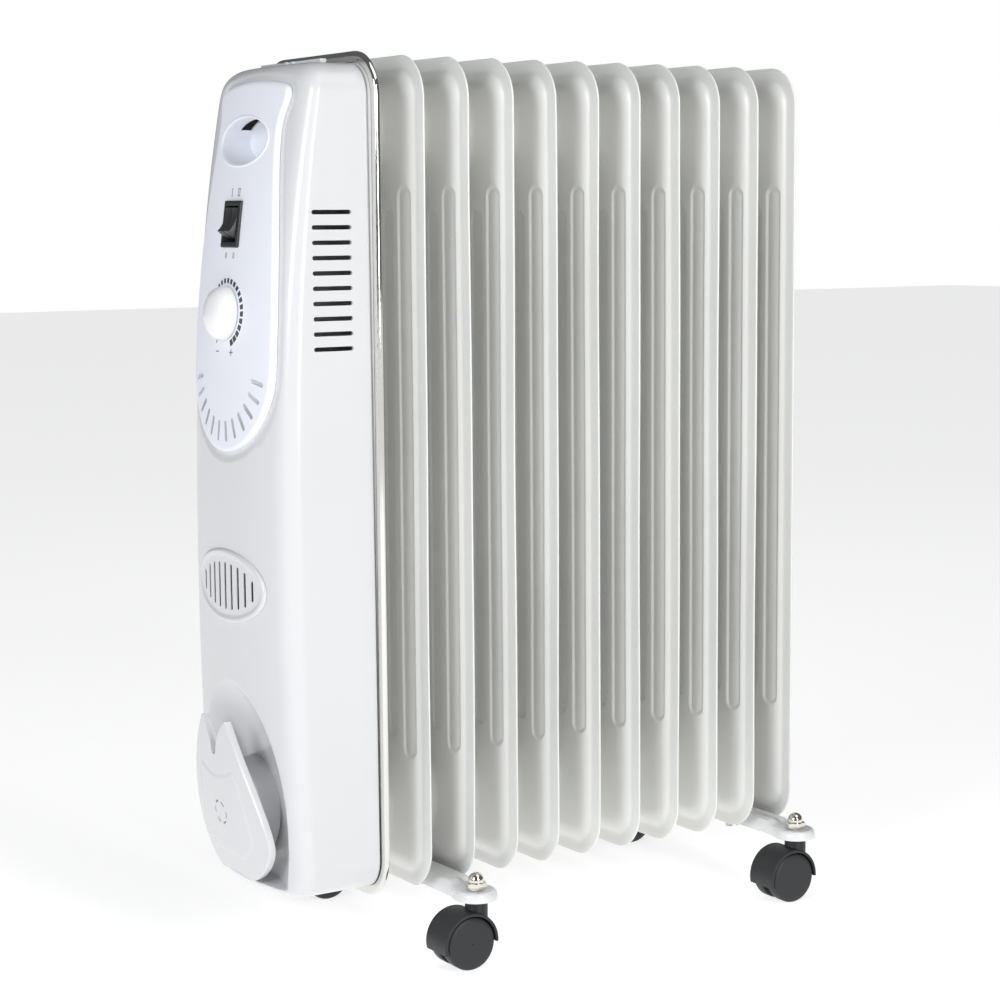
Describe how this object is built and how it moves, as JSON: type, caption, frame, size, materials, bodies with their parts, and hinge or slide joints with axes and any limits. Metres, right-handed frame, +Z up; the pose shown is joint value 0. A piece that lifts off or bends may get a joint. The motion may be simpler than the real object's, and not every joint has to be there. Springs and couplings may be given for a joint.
{
  "type": "oil filled radiator heater",
  "caption": "Upright oil filled radiator heater: a row of hollow steel fins, a bowed control box with knob and rocker switches, and foot brackets on swivelling twin-wheel casters.",
  "frame": {"origin": "on the floor, under the middle of the heater's bounding box", "axes": "+X from the control box towards the last fin, +Z up, -Y the near side with the control box on the left"},
  "size_m": [0.4933, 0.253, 0.673],
  "materials": {
    "fin_paint": "gloss powder coat, warm light grey",
    "housing_white": "gloss white moulding",
    "fascia_white": "satin pale blue-white moulding",
    "knob_white": "semi-gloss white moulding",
    "black_plastic": "satin black moulding",
    "caster_plastic": "fine-grained charcoal moulding",
    "chrome_trim": "polished",
    "bracket_paint": "gloss white paint on pressed steel",
    "zinc_steel": "bright zinc plating",
    "copper_tube": "drawn tube, lightly oxidised",
    "ceramic_cream": "unglazed"
  },
  "bodies": {
    "radiator": {"fin_01": "fin_paint", "fin_02": "fin_paint", "fin_03": "fin_paint", "fin_04": "fin_paint", "fin_05": "fin_paint", "fin_06": "fin_paint", "fin_07": "fin_paint", "fin_08": "fin_paint", "fin_09": "fin_paint", "fin_10": "fin_paint", "fin_11": "fin_paint", "oil_filler_plug": "zinc_steel", "element_plug": "zinc_steel", "heating_element": "copper_tube", "chrome_trim_ring": "chrome_trim", "control_housing": "housing_white", "fascia_panel": "fascia_white", "grip_cup": "fascia_white", "vent_grille": "housing_white", "top_strip": "housing_white", "cord_wrap_hub": "housing_white", "cord_wrap_plate": "housing_white", "cord_gland": "black_plastic", "heat_shield": "zinc_steel", "switch_frame": "black_plastic", "thermostat_body": "ceramic_cream", "terminal_block": "ceramic_cream", "thermal_cutout": "zinc_steel", "foot_bracket_front": "bracket_paint", "u_bolt_front": "zinc_steel", "foot_bracket_rear": "bracket_paint", "u_bolt_rear": "zinc_steel", "wing_nut_front_near": "zinc_steel", "dome_nut_front_near": "chrome_trim", "caster_stem_front_near": "zinc_steel", "wing_nut_front_far": "zinc_steel", "dome_nut_front_far": "chrome_trim", "caster_stem_front_far": "zinc_steel", "wing_nut_rear_near": "zinc_steel", "dome_nut_rear_near": "chrome_trim", "caster_stem_rear_near": "zinc_steel", "wing_nut_rear_far": "zinc_steel", "dome_nut_rear_far": "chrome_trim", "caster_stem_rear_far": "zinc_steel"},
    "knob": {"thermostat_knob": "knob_white", "thermostat_spindle": "zinc_steel"},
    "left_rocker": {"rocker_left": "black_plastic"},
    "right_rocker": {"rocker_right": "black_plastic"},
    "caster_front_near": {"caster_hood_front_near": "caster_plastic"},
    "wheel_outer_front_near": {"caster_wheel_outer_front_near": "caster_plastic"},
    "wheel_inner_front_near": {"caster_wheel_inner_front_near": "caster_plastic"},
    "caster_front_far": {"caster_hood_front_far": "caster_plastic"},
    "wheel_outer_front_far": {"caster_wheel_outer_front_far": "caster_plastic"},
    "wheel_inner_front_far": {"caster_wheel_inner_front_far": "caster_plastic"},
    "caster_rear_near": {"caster_hood_rear_near": "caster_plastic"},
    "wheel_outer_rear_near": {"caster_wheel_outer_rear_near": "caster_plastic"},
    "wheel_inner_rear_near": {"caster_wheel_inner_rear_near": "caster_plastic"},
    "caster_rear_far": {"caster_hood_rear_far": "caster_plastic"},
    "wheel_outer_rear_far": {"caster_wheel_outer_rear_far": "caster_plastic"},
    "wheel_inner_rear_far": {"caster_wheel_inner_rear_far": "caster_plastic"}
  },
  "joints": [
    {"name": "thermostat_turn", "type": "hinge", "parent": "radiator", "child": "knob", "pos_m": [-0.22757, 0, 0.4855], "axis": [0.9963, 0, -0.0865], "range_deg": [0, 290]},
    {"name": "left_rocker_tip", "type": "hinge", "parent": "radiator", "child": "left_rocker", "pos_m": [-0.21446, 0.005, 0.54919], "axis": [0, -1, 0], "range_deg": [0, 30]},
    {"name": "right_rocker_tip", "type": "hinge", "parent": "radiator", "child": "right_rocker", "pos_m": [-0.21446, -0.005, 0.54919], "axis": [0, -1, 0], "range_deg": [0, 30]},
    {"name": "caster_swivel_front_near", "type": "hinge", "parent": "radiator", "child": "caster_front_near", "pos_m": [-0.08525, -0.11, 0.045], "axis": [0, 0, 1], "continuous": true},
    {"name": "wheel_spin_outer_front_near", "type": "hinge", "parent": "caster_front_near", "child": "wheel_outer_front_near", "pos_m": [-0.09775, -0.1189, 0.02], "axis": [0, 1, 0], "continuous": true},
    {"name": "wheel_spin_inner_front_near", "type": "hinge", "parent": "caster_front_near", "child": "wheel_inner_front_near", "pos_m": [-0.09775, -0.1011, 0.02], "axis": [0, 1, 0], "continuous": true},
    {"name": "caster_swivel_front_far", "type": "hinge", "parent": "radiator", "child": "caster_front_far", "pos_m": [-0.08525, 0.11, 0.045], "axis": [0, 0, 1], "continuous": true},
    {"name": "wheel_spin_outer_front_far", "type": "hinge", "parent": "caster_front_far", "child": "wheel_outer_front_far", "pos_m": [-0.09775, 0.1189, 0.02], "axis": [0, 1, 0], "continuous": true},
    {"name": "wheel_spin_inner_front_far", "type": "hinge", "parent": "caster_front_far", "child": "wheel_inner_front_far", "pos_m": [-0.09775, 0.1011, 0.02], "axis": [0, 1, 0], "continuous": true},
    {"name": "caster_swivel_rear_near", "type": "hinge", "parent": "radiator", "child": "caster_rear_near", "pos_m": [0.22275, -0.11, 0.045], "axis": [0, 0, 1], "continuous": true},
    {"name": "wheel_spin_outer_rear_near", "type": "hinge", "parent": "caster_rear_near", "child": "wheel_outer_rear_near", "pos_m": [0.21025, -0.1189, 0.02], "axis": [0, 1, 0], "continuous": true},
    {"name": "wheel_spin_inner_rear_near", "type": "hinge", "parent": "caster_rear_near", "child": "wheel_inner_rear_near", "pos_m": [0.21025, -0.1011, 0.02], "axis": [0, 1, 0], "continuous": true},
    {"name": "caster_swivel_rear_far", "type": "hinge", "parent": "radiator", "child": "caster_rear_far", "pos_m": [0.22275, 0.11, 0.045], "axis": [0, 0, 1], "continuous": true},
    {"name": "wheel_spin_outer_rear_far", "type": "hinge", "parent": "caster_rear_far", "child": "wheel_outer_rear_far", "pos_m": [0.21025, 0.1189, 0.02], "axis": [0, 1, 0], "continuous": true},
    {"name": "wheel_spin_inner_rear_far", "type": "hinge", "parent": "caster_rear_far", "child": "wheel_inner_rear_far", "pos_m": [0.21025, 0.1011, 0.02], "axis": [0, 1, 0], "continuous": true}
  ]
}
